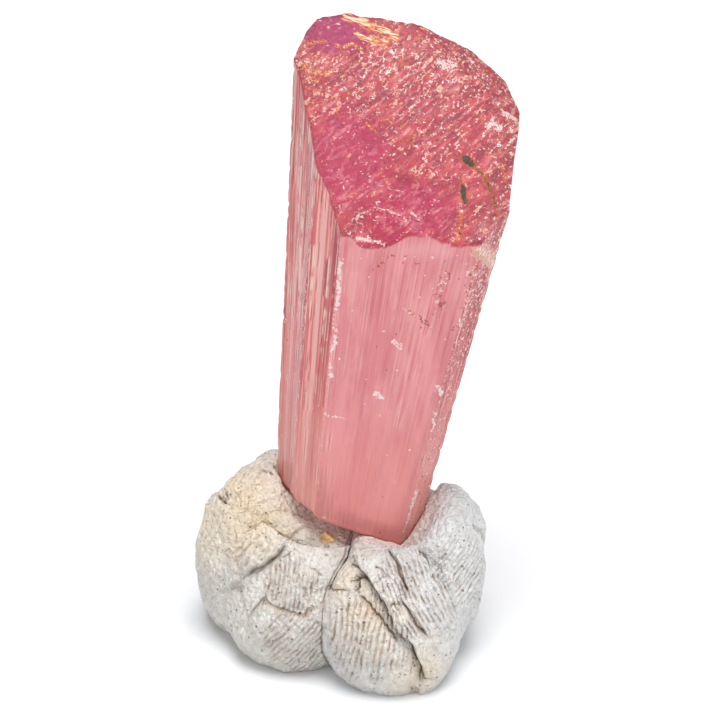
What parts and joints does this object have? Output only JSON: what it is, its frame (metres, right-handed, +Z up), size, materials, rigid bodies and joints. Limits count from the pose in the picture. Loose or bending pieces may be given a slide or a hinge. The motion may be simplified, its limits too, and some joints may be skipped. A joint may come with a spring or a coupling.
{
  "type": "spodumene crystal on mounting putty",
  "caption": "Tapering, fluted pink crystal with a slanting, stepped upper end, standing in folded lumps of off-white mounting putty.",
  "frame": {"origin": "on the putty's flat underside, below the middle of the crystal's foot and a little in front of it", "axes": "+Z up, -Y towards the crystal's broad face, +X to that face's right, which is where the crystal leans"},
  "size_m": [0.0307, 0.0281, 0.0587],
  "materials": {
    "pink_spodumene": "translucent pink crystal with a lengthwise fluted, silky skin",
    "putty": "matt off-white mounting putty with finger prints, pits and brown-stained creases",
    "ochre_grit": "dull ochre stone"
  },
  "bodies": {
    "root": {"crystal": "pink_spodumene", "left_putty_wad": "putty", "right_putty_wad": "putty", "grit_chip": "ochre_grit"}
  },
  "joints": []
}
